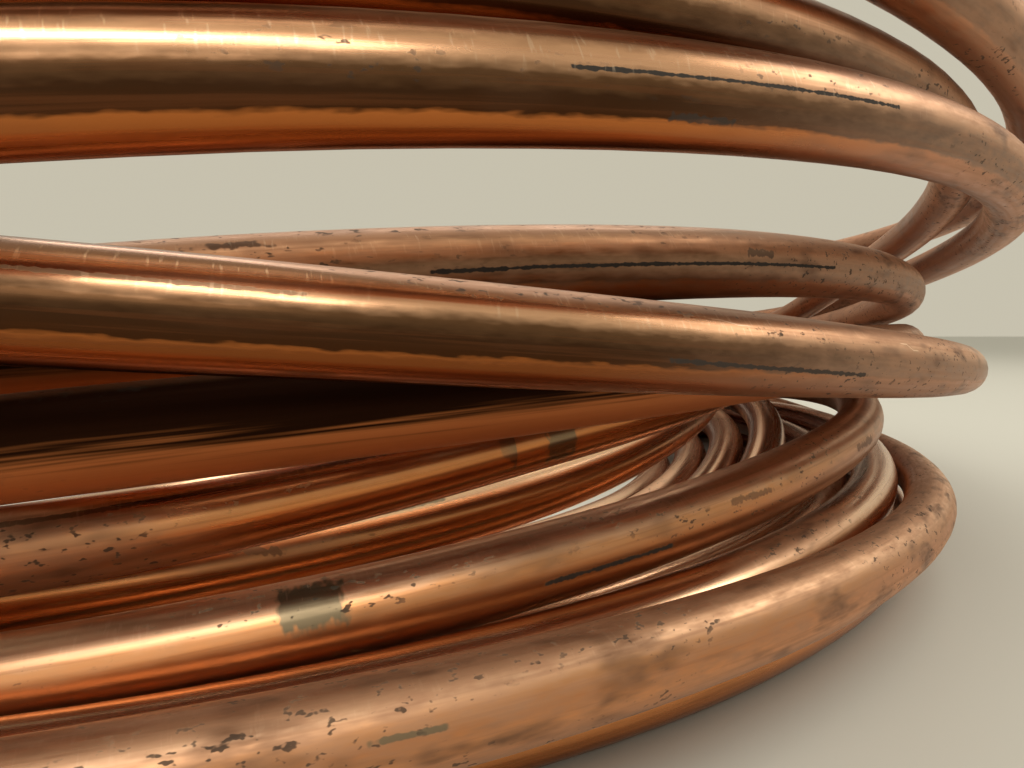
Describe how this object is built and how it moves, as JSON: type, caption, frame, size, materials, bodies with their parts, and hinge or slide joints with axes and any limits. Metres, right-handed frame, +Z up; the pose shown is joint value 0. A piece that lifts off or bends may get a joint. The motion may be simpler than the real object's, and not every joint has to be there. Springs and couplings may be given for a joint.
{
  "type": "copper tube coil",
  "caption": "Loosely sprung, flat-lying coil of bare soft copper tube with two plain cut open ends.",
  "frame": {"origin": "middle of the coil's outline, on the surface that it lies on", "axes": "+Z up along the coil's axis; the side seen close up in the picture lies about 72 to 18 degrees clockwise from +X, towards -Y"},
  "size_m": [0.5074, 0.5284, 0.0989],
  "materials": {
    "copper": "satin"
  },
  "bodies": {
    "root": {"copper_tube": "copper"}
  },
  "joints": []
}
